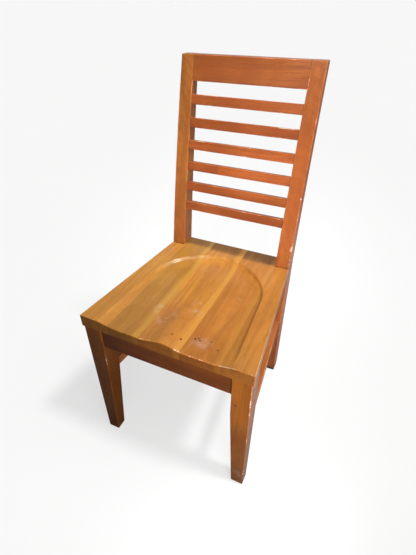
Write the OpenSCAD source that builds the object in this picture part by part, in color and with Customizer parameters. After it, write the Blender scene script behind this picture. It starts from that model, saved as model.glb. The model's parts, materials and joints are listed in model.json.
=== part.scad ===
// Dining chair with a slatted back and a saddled plank seat, in millimetres.
// +X is to the right as seen from the front, +Y runs to the back, +Z is up.
// The origin lies under the middle of the chair, on the floor.

/* [Overall] */
// Height of the seat's flat rim above the floor
seat_h = 450; // [420:1:480]
// Height of the posts and the crest rail
back_h = 946; // [900:1:1000]

/* [Seat] */
// Width of the seat at its front edge
seat_front_w = 439; // [430:1:460]
// Width of the seat where it meets the posts
seat_rear_w = 365; // [355:1:385]
// Depth of the seat from its front edge to the front of the posts
seat_d = 392; // [370:1:410]
// Thickness of the seat at its rim
seat_t = 33; // [30:1:38]
// Depth of the saddle below the rim
dish_depth = 12; // [6:1:14]
// Radius of the saddle's round back
dish_r = 157; // [140:1:165]
// How far the saddle's sides flare out from the round back to the front edge
dish_flare = 14; // [0:1:25]
// Half-width of the ridge between the two thigh hollows
ridge_w = 57; // [40:1:70]
// How far back the ridge runs before it has faded away
ridge_l = 175; // [120:1:220]

/* [Rear posts] */
// Width of a post at the seat, seen from the front
post_w = 38.5; // [34:0.5:44]
// Width of a post at the top
post_top_w = 35; // [30:0.5:38]
// Width of a post at the foot
post_foot_w = 31; // [28:0.5:36]
// Depth of a post at the seat, seen from the side
post_d = 50; // [46:1:56]
// Depth of a post at the top
post_top_d = 28; // [24:1:34]
// Depth of a post at the foot
post_foot_d = 37; // [32:1:44]
// How far the front of the foot stands behind the front of the post at the seat
foot_rake = 27; // [10:1:35]
// Backward slope of the post just above the seat
back_slope = 0.156; // [0.1:0.002:0.18]
// Extra backward bend over the height of the back
back_bend = 22.5; // [10:0.5:30]

/* [Back] */
// Height of the crest rail
crest_h = 58; // [45:1:70]
// Thickness of the crest rail
crest_t = 24; // [18:1:26]
// Number of slats
slat_count = 6; // [4:1:6]
// Height of a slat
slat_h = 24; // [18:1:28]
// Thickness of a slat
slat_t = 16; // [14:1:18]
// Height of the middle of the lowest slat above the seat
slat_first = 122.5; // [110:0.5:130]
// Distance from one slat to the next
slat_pitch = 54.9; // [52:0.1:56]

/* [Front legs] */
// Width of a front leg at the top
leg_w = 46; // [42:1:50]
// Depth of a front leg at the top
leg_d = 50; // [46:1:54]
// Width of a front leg at the foot
leg_foot_w = 33; // [28:1:40]
// Depth of a front leg at the foot
leg_foot_d = 30; // [26:1:40]
// Height at which the taper starts
taper_h = 290; // [270:1:320]
// Overhang of the seat past the leg at the side
side_overhang = 4; // [2:0.5:8]
// Overhang of the seat past the leg at the front
front_overhang = 2; // [1:0.5:6]

/* [Rails] */
// Height of the aprons
apron_h = 60; // [50:1:70]
// Thickness of the aprons
apron_t = 20; // [18:1:22]
// Distance from the front of the legs back to the front apron
apron_set = 5; // [3:1:8]
// Height of the top of the side stretchers
stretcher_top = 248; // [230:1:260]
// Height of a side stretcher
stretcher_h = 26; // [22:1:30]
// Thickness of a side stretcher
stretcher_t = 18; // [16:1:20]

/* [Hardware] */
// Diameter of the dowels
dowel_dia = 8; // [6:1:10]
// Length of the dowels
dowel_l = 36; // [30:1:40]
// Length of the screws
screw_l = 35; // [30:1:38]
// Thickness of the front glides
front_glide_t = 3; // [2:0.5:6]
// Thickness of the rear glides
rear_glide_t = 7; // [3:0.5:9]
// Diameter of the front glides
front_glide_dia = 23; // [18:1:26]
// How far the rear glides stand in from the edges of their feet
rear_glide_inset = 0.5; // [0.3:0.1:3]

/* [Hidden] */
seat_wood = "#c88a40";
seat_wood_light = "#d2994e";
seat_wood_red = "#c07b44";
back_wood = "#b3592f";
post_wood = "#b8622f";
leg_wood = "#8e5426";
rail_wood = "#6b3a1c";
block_wood = "#cfae7a";
dowel_wood = "#d8bd8c";
steel = "#a9a9a6";
glide_black = "#2d2b2a";

SLATS = [for (i = [1:slat_count]) str("slat_", i)];
BOARDS = [for (i = [1:5]) str("seat_board_", i)];

eps = 0.5;
left = -1;
right = 1;
seat_under = seat_h - seat_t;
apron_under = seat_under - apron_h;
post_out = seat_rear_w / 2 - 0.5;
post_in = post_out - post_w;
back_rise = back_h - seat_h;
overall_d = post_front(back_h) + post_top_d;
side_slope = (seat_front_w - seat_rear_w) / 2 / seat_d;
side_angle = atan(side_slope);
leg_out = seat_front_w / 2 - side_overhang;
leg_in = leg_out - leg_w;
leg_back = front_overhang + leg_d;
apron_front = front_overhang + apron_set;
rear_apron_y = seat_d + post_d / 2 - apron_t / 2;
side_apron_in = side_overhang + apron_set + apron_t;
stretcher_z = stretcher_top - stretcher_h / 2;
tenon_l = 14;
dowel_gap = 1;

// ---- Curves that several pieces share ----

// Half-width of the seat at a distance from its front edge.
function seat_edge(y) = seat_front_w / 2 - side_slope * min(y, seat_d);

// Front and back faces of a post, seen from the side, at a height.
function post_front(z) =
    z > seat_h ? let (s = z - seat_h) seat_d + back_slope * s + back_bend * pow(s / back_rise, 2)
    : z > apron_under ? seat_d
    : seat_d + foot_rake * (1 - z / apron_under);
function post_depth(z) =
    z > seat_h ? post_d + (post_top_d - post_d) * (z - seat_h) / back_rise
    : z > apron_under ? post_d
    : post_foot_d + (post_d - post_foot_d) * z / apron_under;

// Backward lean of the post's front face at a height above the seat, in degrees.
function post_lean(z) = atan(back_slope + 2 * back_bend * (z - seat_h) / pow(back_rise, 2));

// Depth of the saddle at a point of the seat: a dish with a crisp lip, and a
// ridge that splits its open front into two thigh hollows.
dish_mid = 215;
function step_down(t) = 1 - pow(1 - min(max(t, 0), 1), 2);
function smooth(t) = let (u = min(max(t, 0), 1)) u * u * (3 - 2 * u);
function dish_inside(x, y) =
    y > dish_mid ? dish_r - norm([x, y - dish_mid])
    : dish_r + dish_flare * (1 - y / dish_mid) - abs(x);
function dish_wall(y) = 62 - 26 * smooth(y / (dish_mid + dish_r));
function ridge(x, y) = (1 + cos(180 * min(abs(x) / ridge_w, 1))) / 2 * (1 - smooth((y - 40) / (ridge_l - 40)));
function saddle(x, y) = dish_depth * step_down(dish_inside(x, y) / dish_wall(y)) * (1 - ridge(x, y));

// ---- Seat ----

// Seams between the glued boards, from left to right, and the two seat edges.
board_seams = [-post_in, -60, 46, post_in];

// X of a board's left or right side (1 to 5, side 0 or 1) at a depth.
function board_side(i, side, y) =
    let (k = i - 2 + side) k < 0 ? -seat_edge(y) : k > 3 ? seat_edge(y) : board_seams[k];

// One board: a fine grid over the saddle, straight sides and a flat underside.
module seat_board(i, tone) {
    outer = i == 1 || i == 5;
    depth = outer ? seat_d : seat_d + post_d;
    grid = 10;
    rows = round(depth / grid);
    cols = round((board_side(i, 1, 0) - board_side(i, 0, 0)) / grid);
    top = [for (r = [0:rows]) for (c = [0:cols])
        let (y = depth * r / rows, t = c / cols)
        let (x = board_side(i, 0, y) * (1 - t) + board_side(i, 1, y) * t)
        [x, y, seat_h - saddle(x, y)]];
    // Walking once round the grid's edge, anticlockwise from above.
    rim = concat(
        [for (c = [0:cols - 1]) c],
        [for (r = [0:rows - 1]) r * (cols + 1) + cols],
        [for (c = [cols:-1:1]) rows * (cols + 1) + c],
        [for (r = [rows:-1:1]) r * (cols + 1)]);
    n = len(rim);
    base = len(top);
    under = [for (k = rim) [top[k][0], top[k][1], seat_under]];
    middle = [(under[0] + under[cols + rows]) / 2];
    cells = [for (r = [0:rows - 1]) for (c = [0:cols - 1]) let (k = r * (cols + 1) + c)
        each [[k, k + cols + 1, k + cols + 2], [k, k + cols + 2, k + 1]]];
    walls = [for (k = [0:n - 1]) let (m = (k + 1) % n)
        each [[rim[k], rim[m], base + m], [rim[k], base + m, base + k]]];
    floor = [for (k = [0:n - 1]) [base + k, base + (k + 1) % n, base + n]];
    color(tone) difference() {
        polyhedron(concat(top, under, middle), concat(cells, walls, floor));
        if (i != 3) seat_screw_holes();
    }
}

// ---- Posts ----

// Side view of a post, as an outline in Y and Z.
function post_side_points() = let (
    zs = concat([0, apron_under], [for (k = [0:12]) seat_h + back_rise * k / 12]))
    concat([for (z = zs) [post_front(z), z]],
           [for (k = [len(zs) - 1:-1:0]) let (z = zs[k]) [post_front(z) + post_depth(z), z]]);

// Front view of the right post, as an outline in X and Z.
function post_front_points() = [
    [post_out - (post_w - post_foot_w) / 2 - post_foot_w, 0],
    [post_out - (post_w - post_foot_w) / 2, 0],
    [post_out, apron_under], [post_out, seat_h], [post_out, back_h],
    [post_out - post_top_w, back_h], [post_in, seat_h], [post_in, apron_under]];

// A post without its mortises and bores.
module post_blank(side) {
    on_side_of(side) difference() {
        intersection() {
            along_x(0, post_out + eps) polygon(post_side_points());
            along_y(0, overall_d + eps) polygon(post_front_points());
        }
        translate([0, seat_d - eps, -eps]) cube([seat_front_w, seat_d, rear_glide_t + eps]);
    }
}

module post(side) {
    color(post_wood) difference() {
        post_blank(side);
        for (i = [1:slat_count]) slat_tenon(i);
        stretcher_tenon(side);
        apron_dowels_all(dowel_gap);
        crest_dowels_all(dowel_gap);
        glide_at(side, "rear");
    }
}

// ---- Back ----

function slat_z(i) = seat_h + slat_first + slat_pitch * (slat_count - i);

// Puts a piece on the posts' front faces at a height, leaning with them.
module on_back(z) {
    translate([0, post_front(z), z]) rotate([-post_lean(z), 0, 0]) children();
}

module slat_bar(i) {
    on_back(slat_z(i)) translate([-post_out + 5, 1, -slat_h / 2]) cube([2 * post_out - 10, slat_t, slat_h]);
}

// The stub tenons at both ends of a slat, as one bar.
module slat_tenon(i) {
    shoulder = 3;
    long = 2 * (post_in + tenon_l);
    on_back(slat_z(i)) translate([-long / 2, 1 + shoulder, -slat_h / 2 + shoulder])
        cube([long, slat_t - 2 * shoulder, slat_h - 2 * shoulder]);
}

module slat(i) {
    color(back_wood) {
        between_posts() slat_bar(i);
        slat_tenon(i);
    }
}

module crest_rail() {
    mid = back_h - crest_h / 2;
    color(back_wood) difference() {
        between_posts() intersection() {
            on_back(mid) translate([-post_out, 0, -crest_h]) cube([2 * post_out, crest_t, 2 * crest_h]);
            translate([-post_out, 0, back_h - crest_h]) cube([2 * post_out, overall_d, crest_h]);
        }
        crest_dowels_all(dowel_gap);
    }
}

// Cuts a bar to the gap between the posts.
module between_posts() {
    intersection() {
        children();
        along_y(0, overall_d + eps) polygon([
            [-post_in, 0], [post_in, 0], [post_in, seat_h], [post_out - post_top_w, back_h],
            [post_top_w - post_out, back_h], [-post_in, seat_h]]);
    }
}

// ---- Front legs ----

module leg_blank(side) {
    taper_w = leg_w - leg_foot_w;
    taper_d = leg_d - leg_foot_d;
    on_side_of(side) difference() {
        intersection() {
            along_y(0, leg_back + eps) polygon([
                [leg_in + taper_w, 0], [leg_out, 0], [leg_out, seat_under], [leg_in, seat_under], [leg_in, taper_h]]);
            along_x(0, leg_out + eps) polygon([
                [front_overhang, 0], [leg_back - taper_d, 0], [leg_back, taper_h],
                [leg_back, seat_under], [front_overhang, seat_under]]);
        }
        translate([0, -eps, -eps]) cube([seat_front_w, seat_d, front_glide_t + eps]);
    }
}

module front_leg(side) {
    color(leg_wood) difference() {
        leg_blank(side);
        stretcher_tenon(side);
        apron_dowels_all(dowel_gap);
        glide_at(side, "front");
    }
}

// ---- Rails under the seat ----

module front_apron() {
    color(rail_wood) difference() {
        translate([-leg_in, apron_front, apron_under]) cube([2 * leg_in, apron_t, apron_h]);
        apron_dowels_all(dowel_gap);
        block_screws_all();
    }
}

module rear_apron() {
    color(rail_wood) difference() {
        translate([-post_in, rear_apron_y, apron_under]) cube([2 * post_in, apron_t, apron_h]);
        apron_dowels_all(dowel_gap);
        block_screws_all();
    }
}

// Puts a piece on the line of the seat's side edge, which runs in towards the
// back. Local X is the distance inwards from the edge, negative going inwards.
module on_side(side) {
    on_side_of(side) translate([seat_front_w / 2, 0, 0]) rotate([0, 0, side_angle]) children();
}

module side_apron(side) {
    color(rail_wood) difference() {
        intersection() {
            on_side(side) translate([-side_apron_in, 0, apron_under]) cube([apron_t, seat_d + post_d, apron_h]);
            translate([-seat_front_w / 2, leg_back, 0]) cube([seat_front_w, seat_d - leg_back, seat_h]);
        }
        apron_dowels_all(dowel_gap);
        block_screws_all();
    }
}

stretcher_set = side_overhang + 1.5;

module side_stretcher(side) {
    color(leg_wood) {
        difference() {
            on_side(side) translate([-stretcher_set - stretcher_t, leg_d / 2, stretcher_top - stretcher_h])
                cube([stretcher_t, seat_d - leg_d / 3, stretcher_h]);
            leg_blank(side);
            post_blank(side);
        }
        stretcher_tenon(side);
    }
}

// The stub tenons at both ends of a stretcher, as one bar.
module stretcher_tenon(side) {
    shoulder = 4;
    from = leg_back - tenon_l - 5;
    to = post_front(stretcher_z) + tenon_l;
    on_side(side) translate([-stretcher_set - stretcher_t + shoulder, from, stretcher_z - stretcher_h / 2 + shoulder])
        cube([stretcher_t - 2 * shoulder, to - from, stretcher_h - 2 * shoulder]);
}

// ---- Corner blocks ----

block_h = 25;
block_mid_z = seat_under - block_h / 2;

// X of the side apron's inner face at a depth.
function apron_inner(y) = seat_front_w / 2 - side_apron_in / cos(side_angle) - side_slope * y;

// Plan of a right-hand block: two corners on the front or rear apron, then two
// on the side apron. The first and the last corner end its long inner face.
function block_points(end) =
    end == "front"
    ? let (y = apron_front + apron_t, a = leg_back + 33, b = leg_back + 66)
        [[leg_in - 65, y], [leg_in - 32, y], [apron_inner(a), a], [apron_inner(b), b]]
    : let (y = rear_apron_y, a = seat_d - 37, b = seat_d - 70)
        [[post_in - 59, y], [post_in - 26, y], [apron_inner(a), a], [apron_inner(b), b]];

module corner_block(side, end) {
    color(block_wood) difference() {
        on_side_of(side) translate([0, 0, seat_under - block_h]) linear_extrude(block_h)
            polygon(end == "front" ? block_points(end) : [for (k = [3:-1:0]) block_points(end)[k]]);
        block_screws_all();
        seat_screw_holes();
    }
}

// ---- Dowels ----

module dowel(gap) {
    cylinder(h = dowel_l + 2 * gap, d = dowel_dia, center = true, $fn = 32);
}

dowel_heights = [apron_under + apron_h / 4, apron_under + apron_h * 3 / 4];

module apron_dowels_all(gap = 0) {
    for (side = [left, right]) for (z = dowel_heights) {
        for (at = [[leg_in, apron_front + apron_t / 2], [post_in, rear_apron_y + apron_t / 2]])
            translate([side * at[0], at[1], z]) rotate([0, 90, 0]) dowel(gap);
        for (y = [leg_back, seat_d])
            on_side(side) translate([apron_t / 2 - side_apron_in, y / cos(side_angle), z]) rotate([90, 0, 0]) dowel(gap);
    }
}

module crest_dowels_all(gap = 0) {
    for (side = [left, right]) for (dz = [-15, 13]) {
        z = back_h - crest_h / 2 + dz;
        on_back(z) translate([side * (post_out - post_top_w), crest_t / 2, 0]) rotate([0, 90, 0]) dowel(gap);
    }
}

module apron_dowels() { color(dowel_wood) apron_dowels_all(); }
module crest_dowels() { color(dowel_wood) crest_dowels_all(); }

// ---- Screws ----

screw_head_r = 4;

// Half of a screw's outline, from the rim of its head to its point.
function screw_outline() = let (shank_r = 2, point = 5)
    [[screw_head_r, 0], [shank_r, 3], [shank_r, screw_l - point], [0.3, screw_l], [0, screw_l]];

// A countersunk screw along +Z, its head's flat face at the origin, with a
// cross recess where recessed is true.
module screw(recessed) {
    difference() {
        rotate_extrude($fn = 24) polygon(concat([[0, 0]], screw_outline()));
        if (recessed) for (a = [0, 90]) rotate([0, 0, a]) translate([-2, -0.5, -eps]) cube([4, 1, 1.6 + eps]);
    }
}

// Two screws through each block, square to its long inner face.
module block_screws_all(recessed = false) {
    inset = 17;
    for (side = [left, right]) for (end = ["front", "rear"]) {
        plan = block_points(end);
        long = norm(plan[3] - plan[0]);
        along = (plan[3] - plan[0]) / long;
        turn = end == "front" ? atan2(-along[0], along[1]) : atan2(along[0], -along[1]);
        for (u = [inset, long - inset]) on_side_of(side)
            translate([plan[0][0] + along[0] * u, plan[0][1] + along[1] * u, block_mid_z])
                rotate([0, 0, turn]) rotate([0, 90, 0]) screw(recessed);
    }
}

// Puts a piece at the middle of each block, where a screw goes up into the seat.
module at_seat_screws() {
    for (side = [left, right]) for (end = ["front", "rear"]) {
        plan = block_points(end);
        mid = (plan[0] + plan[1] + plan[2] + plan[3]) / 4;
        translate([side * mid[0], mid[1], seat_h - 18 - screw_l]) children();
    }
}

// The screws' own space, with a way out below for the heads.
module seat_screw_holes() {
    at_seat_screws() rotate_extrude($fn = 24) polygon(concat(
        [[0, -screw_l], [screw_head_r, -screw_l]], screw_outline()));
}

module block_screws() { color(steel) block_screws_all(true); }
module seat_screws() { color(steel) at_seat_screws() screw(true); }

// ---- Glides ----

// A glide's nail, from a height up into the leg.
module glide_nail(from) {
    nail_r = 1.5;
    nail_l = 16;
    rotate_extrude($fn = 48)
        polygon([[0, from], [nail_r, from], [nail_r, from + nail_l - 3], [0.2, from + nail_l], [0, from + nail_l]]);
}

// A front glide: a domed disc, standing on the floor.
module front_glide() {
    r = front_glide_dia / 2;
    round_r = min(front_glide_t - 1, 2);
    rotate_extrude($fn = 48) polygon(concat(
        [[0, 0]],
        [for (a = [-90:15:0]) [r - round_r + round_r * cos(a), round_r + round_r * sin(a)]],
        [[r, front_glide_t], [0, front_glide_t]]));
    glide_nail(front_glide_t - 1);
}

// A rear glide: a thick pad nearly as large as the foot, with its corners cut.
module rear_glide() {
    w = post_foot_w / 2 - rear_glide_inset;
    d = post_foot_d / 2 - rear_glide_inset;
    cut = 2;
    linear_extrude(rear_glide_t) polygon([
        [-w + cut, -d], [w - cut, -d], [w, -d + cut], [w, d - cut],
        [w - cut, d], [-w + cut, d], [-w, d - cut], [-w, -d + cut]]);
    glide_nail(rear_glide_t - 1);
}

module glide_at(side, end) {
    if (end == "front")
        translate([side * (leg_out - leg_foot_w / 2), front_overhang + leg_foot_d / 2, 0]) front_glide();
    else
        translate([side * (post_out - post_w / 2), post_front(rear_glide_t) + post_depth(rear_glide_t) / 2, 0])
            rear_glide();
}

module foot_glide(side, end) { color(glide_black) glide_at(side, end); }

// ---- Small helpers ----

// Mirrors a piece that is drawn on the right to the asked side.
module on_side_of(side) { mirror([side < 0 ? 1 : 0, 0, 0]) children(); }

// Extrude an outline in Y and Z along X, and one in X and Z along Y.
module along_x(from, to) { translate([from, 0, 0]) rotate([90, 0, 90]) linear_extrude(to - from) children(); }
module along_y(from, to) { translate([0, to, 0]) rotate([90, 0, 0]) linear_extrude(to - from) children(); }

// Moves the chair so that the origin is under its middle.
module placed() { translate([0, -overall_d / 2, 0]) children(); }

// ---- Drawing ----

board_tones = [seat_wood, seat_wood_light, seat_wood, seat_wood_red, seat_wood];
for (i = [1:5]) placed() seat_board(i, board_tones[i - 1]);
for (i = [1:slat_count]) placed() slat(i);
placed() post(left);  // left_post
placed() post(right);  // right_post
placed() crest_rail();
placed() front_leg(left);  // left_front_leg
placed() front_leg(right);  // right_front_leg
placed() front_apron();
placed() rear_apron();
placed() side_apron(left);  // left_apron
placed() side_apron(right);  // right_apron
placed() side_stretcher(left);  // left_stretcher
placed() side_stretcher(right);  // right_stretcher
placed() corner_block(left, "front");  // front_left_block
placed() corner_block(right, "front");  // front_right_block
placed() corner_block(left, "rear");  // rear_left_block
placed() corner_block(right, "rear");  // rear_right_block
placed() apron_dowels();
placed() crest_dowels();
placed() block_screws();
placed() seat_screws();
placed() foot_glide(left, "front");  // front_left_glide
placed() foot_glide(right, "front");  // front_right_glide
placed() foot_glide(left, "rear");  // rear_left_glide
placed() foot_glide(right, "rear");  // rear_right_glide
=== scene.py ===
"""A slat-back dining chair: its wood pieces, finishes and studio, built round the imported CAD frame."""

import json
from math import cos, hypot, pi, radians

import bmesh
import bpy
from bpy.props import FloatProperty, FloatVectorProperty, IntProperty, PointerProperty
from bpy.types import Operator, Panel, PropertyGroup
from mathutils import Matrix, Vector


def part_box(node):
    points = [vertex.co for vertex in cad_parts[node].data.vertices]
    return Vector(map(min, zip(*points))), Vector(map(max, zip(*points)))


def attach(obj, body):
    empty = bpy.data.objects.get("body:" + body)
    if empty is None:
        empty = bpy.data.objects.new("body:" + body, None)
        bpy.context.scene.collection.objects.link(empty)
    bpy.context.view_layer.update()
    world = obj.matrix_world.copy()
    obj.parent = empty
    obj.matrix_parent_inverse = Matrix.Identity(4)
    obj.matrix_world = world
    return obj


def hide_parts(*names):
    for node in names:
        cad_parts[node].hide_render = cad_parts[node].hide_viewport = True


bl_info = {
    "name": "Slat-back Dining Chair",
    "version": (1, 0, 0),
    "blender": (4, 5, 0),
    "location": "View3D > Sidebar > Chair",
    "description": "Builds the eased wood pieces, lacquered finishes and studio of a dining chair",
    "category": "Object",
}

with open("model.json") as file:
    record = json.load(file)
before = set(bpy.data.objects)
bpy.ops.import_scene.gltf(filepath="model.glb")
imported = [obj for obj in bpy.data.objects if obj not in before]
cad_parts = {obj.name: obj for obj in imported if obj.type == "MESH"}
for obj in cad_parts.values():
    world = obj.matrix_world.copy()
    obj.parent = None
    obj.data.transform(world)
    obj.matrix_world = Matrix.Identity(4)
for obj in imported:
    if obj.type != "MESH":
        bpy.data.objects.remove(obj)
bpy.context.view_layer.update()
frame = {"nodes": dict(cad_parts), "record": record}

X, Y, Z = 0, 1, 2
BODY = "root"
SIDES = ("left", "right")
SLATS = [f"slat_{number}" for number in range(1, 7)]
BOARDS = [f"seat_board_{number}" for number in range(1, 6)]
MM = 0.001
WEAR = "edge_wear"

SLOTS = {part["node"]: part["material_slot"] for part in frame["record"]["subparts"]}
SEAT_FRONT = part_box("seat_board_3")[0][Y]
SEAT_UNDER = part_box("seat_board_3")[0][Z]
SEAT_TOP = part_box("seat_board_3")[1][Z]

# Marks on each seat board: distance right of the seat's middle, distance from its front edge, and size.
SEAT_NICKS = {
    "seat_board_3": [(0.036, 0.001, 3.2 * MM), (0.043, 0.001, 2.6 * MM)],
}
# Painted glare: pale spots on the seat's lacquer where the lamps are reflected.
SEAT_PAINTED_GLARE = {
    "seat_board_2": [(-0.064, 0.112, 26 * MM)],
    "seat_board_3": [
        (-0.038, 0.080, 30 * MM),
        (-0.012, 0.104, 22 * MM),
        (0.010, 0.168, 20 * MM),
        (0.023, 0.133, 26 * MM),
    ],
    "seat_board_4": [(0.080, 0.045, 34 * MM), (0.100, 0.222, 12 * MM)],
}
SEAT_DENTS = {
    "seat_board_3": [(0.010, 0.038, 3.0 * MM), (0.033, 0.036, 3.4 * MM)],
    "seat_board_4": [
        (0.060, 0.054, 3.0 * MM),
        (0.066, 0.058, 2.6 * MM),
        (0.072, 0.053, 3.0 * MM),
        (0.097, 0.060, 2.4 * MM),
        (0.120, 0.042, 2.6 * MM),
    ],
}

# Chips on the outer front edges of the right post and the right front leg: height and size.
POST_CHIPS = ((0.508, 7.0 * MM), (0.514, 5.0 * MM), (0.645, 3.2 * MM), (0.478, 3.0 * MM), (0.466, 2.6 * MM))
LEG_CHIPS = ((0.352, 3.4 * MM), (0.343, 2.8 * MM), (0.316, 2.0 * MM), (0.058, 3.0 * MM), (0.072, 2.0 * MM))


# ---------------------------------------------------------------- settings


def length(name, description, default, low=0.0, high=2.0):
    """A property that holds a length in metres."""
    return FloatProperty(
        name=name, description=description, default=default, min=low, max=high, unit="LENGTH", precision=4
    )


def tint(name, description, default):
    """A property that holds a colour."""
    return FloatVectorProperty(
        name=name, description=description, default=default, size=3, min=0.0, max=1.0, subtype="COLOR"
    )


def share(name, description, default):
    """A property that runs from nothing to all."""
    return FloatProperty(
        name=name, description=description, default=default, min=0.0, max=1.0, subtype="FACTOR"
    )


def light(name, description, default):
    """A property that holds how strong a light is."""
    return FloatProperty(name=name, description=description, default=default, min=0.0)


def turn(name, description, degrees):
    """A property that holds an angle."""
    return FloatProperty(name=name, description=description, default=radians(degrees), subtype="ANGLE")


def count(name, description, default, low, high):
    """A property that holds a whole number."""
    return IntProperty(name=name, description=description, default=default, min=low, max=high)


class SeatSettings(PropertyGroup):
    """Shape of the saddled seat."""

    dish_depth: length("Saddle depth", "Depth of the saddle below the rim", 12 * MM)
    dish_radius: length("Saddle radius", "Radius of the saddle's round back", 157 * MM)
    dish_middle: length("Saddle middle", "Where the round back starts, from the front edge", 215 * MM)
    dish_flare: length("Saddle flare", "How far the saddle's sides open towards the front", 14 * MM)
    wall_front: length("Front wall", "Run of the saddle's wall at the front", 62 * MM)
    wall_back: length("Back wall", "Run of the saddle's wall at the back", 36 * MM)
    ridge_width: length("Ridge width", "Half-width of the ridge between the thigh hollows", 57 * MM)
    ridge_full: length("Ridge full", "How far back the ridge keeps its full height", 40 * MM)
    ridge_length: length("Ridge length", "Where the ridge has faded away", 175 * MM)
    lip_drop: length("Lip drop", "Height of the small step round the saddle", 3.2 * MM)
    lip_width: length("Lip width", "Width of the small step round the saddle", 6 * MM)
    lip_start: length("Lip start", "Run over which the step grows from the front edge", 70 * MM)
    top_edge: length("Top edge", "Radius of the seat's top edges", 2.2 * MM)
    under_edge: length("Under edge", "Radius of the seat's lower edges and front corners", 4.5 * MM)
    cell: length("Grid cell", "Size of the grid that carries the saddle", 2 * MM, low=0.002)


class FrameSettings(PropertyGroup):
    """Edges and steps of the legs, posts, rails and slats."""

    arris: length("Arris", "Radius of the legs' and posts' edges", 2.0 * MM)
    slat_arris: length("Slat arris", "Radius of the slats' edges", 1.8 * MM)
    crest_arris: length("Crest arris", "Radius of the crest rail's edges", 1.8 * MM)
    rail_arris: length("Rail arris", "Radius of the rails' and stretchers' edges", 1.5 * MM)
    segments: count("Edge segments", "Facets across an eased edge", 4, low=2, high=8)
    post_steps: count("Post steps", "Steps along a post's curve or a leg's taper", 40, low=8, high=80)


class FinishSettings(PropertyGroup):
    """Colours of the stained and lacquered wood."""

    seat: tint("Seat", "Golden brown of the seat boards", (0.50, 0.215, 0.036))
    post: tint("Posts", "Orange brown of the rear posts", (0.46, 0.145, 0.030))
    back: tint("Back", "Red brown of the crest rail, slats and stretchers", (0.37, 0.108, 0.026))
    leg: tint("Legs", "Brown of the front legs", (0.30, 0.090, 0.007))
    rail: tint("Rails", "Dark brown of the aprons", (0.165, 0.044, 0.007))
    bare: tint("Bare wood", "Pale wood where the finish has rubbed off", (0.62, 0.43, 0.30))
    lacquer: share("Lacquer", "Strength of the clear coat", 0.5)


class StageSettings(PropertyGroup):
    """Floor, lights and camera."""

    camera_place: FloatVectorProperty(
        name="Camera",
        description="Where the camera stands",
        default=(0.3386, -0.7463, 1.0519),
        size=3,
        unit="LENGTH",
    )
    camera_turn: turn("Turn", "Camera's turn about the vertical", 24.607)
    camera_tilt: turn("Tilt", "Camera's tilt below the horizon", 36.08)
    lens: FloatProperty(
        name="Lens", description="Focal length in millimetres", default=24.575, min=10.0, max=100.0
    )
    floor: tint("Floor", "Colour of the floor", (0.93, 0.93, 0.93))
    glow: share("Glow", "Share of the floor's own glow", 0.68)
    key: light("Key", "Strength of the overhead lamp", 2.1)
    ceiling: light("Ceiling", "Strength of the soft ceiling light", 0.8)
    front: light("Front", "Power of the lamp that lights the back", 2.3)
    side: light("Side", "Power of the softbox at the right front", 2.05)
    dim: light("Dim", "Surrounding light at the front", 0.03)
    wall: light("Wall", "Surrounding light at the back and right", 0.45)


# ---------------------------------------------------------------- mesh helpers


def smooth_step(value):
    """0 below 0, 1 above 1 and an even S between them."""
    held = min(max(value, 0.0), 1.0)
    return held * held * (3.0 - 2.0 * held)


def section_corners(node, axis, at):
    """The four corners of a CAD node's cross-section, keyed by the signs of the two other axes."""
    cut = bmesh.new()
    cut.from_mesh(frame["nodes"][node].data)
    bmesh.ops.remove_doubles(cut, verts=cut.verts, dist=0.01 * MM)
    along = Vector((0.0, 0.0, 0.0))
    along[axis] = 1.0
    geometry = cut.verts[:] + cut.edges[:] + cut.faces[:]
    made = bmesh.ops.bisect_plane(cut, geom=geometry, dist=0.001 * MM, plane_co=along * at, plane_no=along)
    points = [item.co.copy() for item in made["geom_cut"] if isinstance(item, bmesh.types.BMVert)]
    cut.free()
    u, v = [other for other in (X, Y, Z) if other != axis]
    signs = [(a, b) for a in (-1, 1) for b in (-1, 1)]
    return {sign: max(points, key=lambda p: sign[0] * p[u] + sign[1] * p[v]) for sign in signs}


def sharp_edges(bm, angle=radians(30)):
    """Edges where two faces meet at more than an angle."""
    return [edge for edge in bm.edges if len(edge.link_faces) == 2 and edge.calc_face_angle() > angle]


def ease(bm, edges, radius, segments, wear):
    """Rounds edges, and marks the middle of each round for the finish to rub through."""
    made = bmesh.ops.bevel(
        bm,
        geom=edges,
        offset=radius,
        affect="EDGES",
        segments=segments,
        profile=0.5,
        material=-1,
        clamp_overlap=True,
    )
    rounds = set(made["faces"])
    for vert in made["verts"]:
        if all(face in rounds for face in vert.link_faces):
            vert[wear] = 1.0


def new_solid():
    """An empty bmesh with the layer that marks its worn edges."""
    bm = bmesh.new()
    return bm, bm.verts.layers.float.new(WEAR)


def finish_piece(bm, name, node, material):
    """Makes a piece from a bmesh, in place of a CAD node, with its material."""
    mesh = bpy.data.meshes.new(name)
    bm.to_mesh(mesh)
    bm.free()
    mesh.shade_smooth()
    mesh.set_sharp_from_angle(angle=radians(40))
    piece = bpy.data.objects.new(name, mesh)
    bpy.context.scene.collection.objects.link(piece)
    mesh.materials.append(material)
    normals = piece.modifiers.new("Even normals", "WEIGHTED_NORMAL")
    normals.keep_sharp = True
    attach(piece, BODY)
    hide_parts(node)
    return piece


def curved_sections(node, axis, steps):
    """Cross-sections of a bent or tapered CAD node at even steps from end to end."""
    low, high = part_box(node)
    hair = 0.02 * MM
    sections = []
    for step in range(steps + 1):
        at = low[axis] + (high[axis] - low[axis]) * step / steps
        corners = section_corners(node, axis, min(max(at, low[axis] + hair), high[axis] - hair))
        for corner in corners.values():
            corner[axis] = at
        sections.append(corners)
    return sections


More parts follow.
